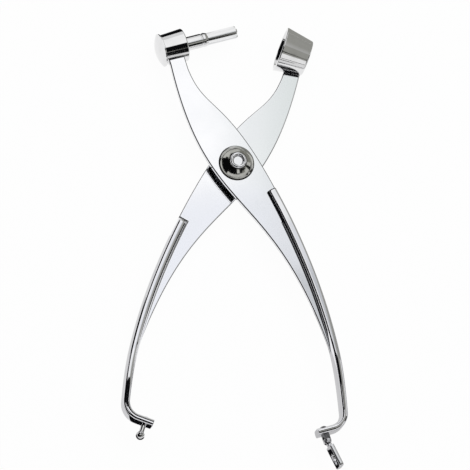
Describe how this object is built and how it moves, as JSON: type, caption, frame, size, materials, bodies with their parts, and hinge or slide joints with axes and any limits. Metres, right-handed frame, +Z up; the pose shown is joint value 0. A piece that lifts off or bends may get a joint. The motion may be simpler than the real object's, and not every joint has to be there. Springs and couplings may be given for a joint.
{
  "type": "cherry pitter",
  "caption": "Plier-type cherry pitter in bright plated metal: crossed levers on a rivet, a finned plunger that drives through a conical cup, and a catch that locks the handles shut.",
  "frame": {"origin": "on the pivot axis, at the middle of the rivet's flat back face", "axes": "+X to the right handle, +Y towards the plunger and cup, +Z up along the pivot axis, towards the front lever; the tool lies on its back with the handles open"},
  "size_m": [0.0868, 0.1732, 0.0174],
  "materials": {
    "polished_plate": "polished plating, mirror bright",
    "bright_rail": "polished plating, mirror bright",
    "turned_chrome": "turned and plated, mirror bright",
    "spring_steel": "drawn spring wire",
    "plain_steel": "plain turned steel"
  },
  "bodies": {
    "cup_lever": {"back_lever_plate": "polished_plate", "back_grip_rail": "bright_rail", "cherry_cup": "turned_chrome", "ball_stud": "turned_chrome", "pivot_rivet": "turned_chrome", "pivot_bush": "plain_steel", "back_dome_washer": "turned_chrome", "front_dome_washer": "turned_chrome", "return_spring": "spring_steel"},
    "plunger_lever": {"front_lever_plate": "polished_plate", "front_grip_rail": "bright_rail", "plunger_boss": "turned_chrome", "boss_cap": "turned_chrome", "plunger_nut": "plain_steel", "plunger_collar": "turned_chrome", "plunger_rod": "turned_chrome", "catch_bracket": "turned_chrome", "catch_pin": "plain_steel"},
    "catch_bar": {"catch": "turned_chrome"}
  },
  "joints": [
    {"name": "squeeze", "type": "hinge", "parent": "cup_lever", "child": "plunger_lever", "pos_m": [0, 0, 0.0087], "axis": [0, 0, -1], "range_deg": [0, 33.5], "stiffness_Nm_per_rad": 0.4, "springref_deg": -20.05, "deforming": ["return_spring"]},
    {"name": "catch_swing", "type": "hinge", "parent": "plunger_lever", "child": "catch_bar", "pos_m": [0.0358, -0.10702, 0.0087], "axis": [0, 0, -1], "range_deg": [-56, 108]}
  ]
}
